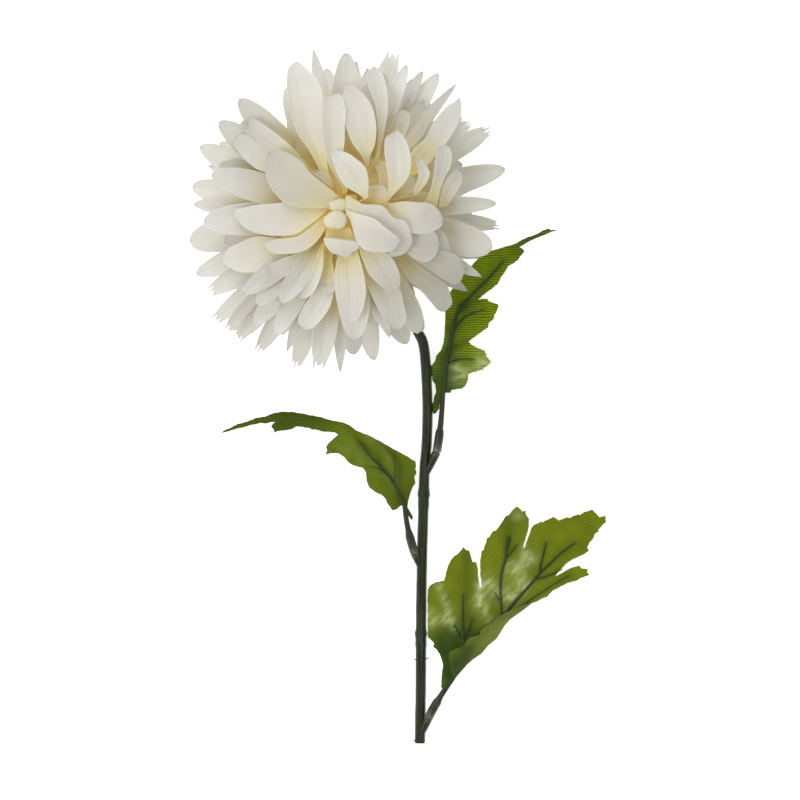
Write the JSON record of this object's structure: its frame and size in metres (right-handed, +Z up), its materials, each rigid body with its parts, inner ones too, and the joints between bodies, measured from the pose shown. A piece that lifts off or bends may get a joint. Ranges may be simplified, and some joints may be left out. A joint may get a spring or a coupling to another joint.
{
  "type": "artificial pompon chrysanthemum stem",
  "caption": "Artificial white pompon chrysanthemum: a cut stem lying on a surface, with one full bloom of fabric petals and lobed fabric leaves on plug-in stalks.",
  "frame": {"origin": "middle of the bounding box's bottom face, on the surface that the stem lies on", "axes": "+Z up, +Y from the cut end towards the bloom, +X to the right seen from above"},
  "size_m": [0.1844, 0.3111, 0.0916],
  "materials": {
    "petal_fabric": "matt woven polyester, warm white",
    "leaf_fabric": "coated ribbed weave, olive green, slight sheen",
    "stem_plastic": "moulded polyethylene, dark green, soft gloss",
    "wire_steel": "drawn wire, bare at the cut end"
  },
  "bodies": {
    "root": {"bloom": "petal_fabric", "calyx": "stem_plastic", "stem": "stem_plastic", "stem_wire": "wire_steel", "petiole_left": "stem_plastic", "petiole_upper": "stem_plastic", "petiole_lower": "stem_plastic", "leaf_left": "leaf_fabric", "leaf_upper": "leaf_fabric", "leaf_lower": "leaf_fabric"}
  },
  "joints": []
}
